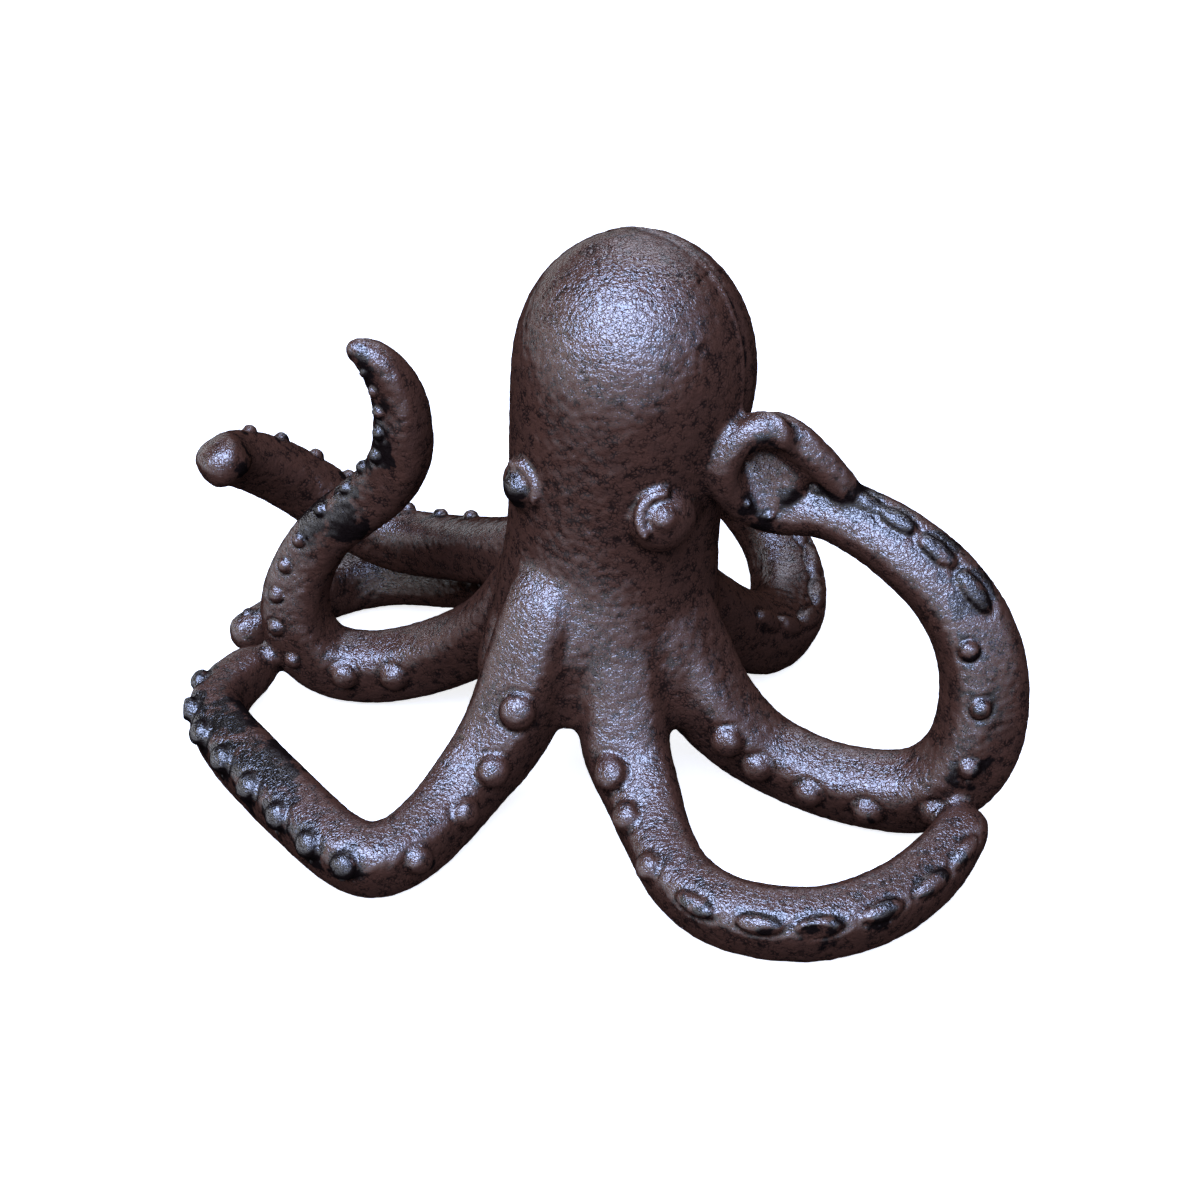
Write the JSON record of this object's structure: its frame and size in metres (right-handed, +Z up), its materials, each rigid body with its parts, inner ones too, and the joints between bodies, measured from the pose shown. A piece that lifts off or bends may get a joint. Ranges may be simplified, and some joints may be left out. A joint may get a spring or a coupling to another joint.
{
  "type": "octopus figurine",
  "caption": "Free-standing cast iron octopus with a domed mantle, raised eyes and curling arms lined with suckers.",
  "frame": {"origin": "middle of the figure's footprint box, on the surface it stands on", "axes": "+Z up, the face looks towards -Y and a little to -X, +X towards the arm that rises in a large loop"},
  "size_m": [0.1334, 0.11, 0.0923],
  "materials": {
    "painted_iron": "sand-cast grain under glossy rust-brown paint, rubbed dark on raised edges"
  },
  "bodies": {
    "root": {"body": "painted_iron", "arm_front_left": "painted_iron", "arm_front_right": "painted_iron", "arm_right_loop": "painted_iron", "arm_left_curl": "painted_iron", "arm_rear_left_raised": "painted_iron", "arm_rear_left_low": "painted_iron", "arm_rear_right": "painted_iron", "arm_rear": "painted_iron"}
  },
  "joints": []
}
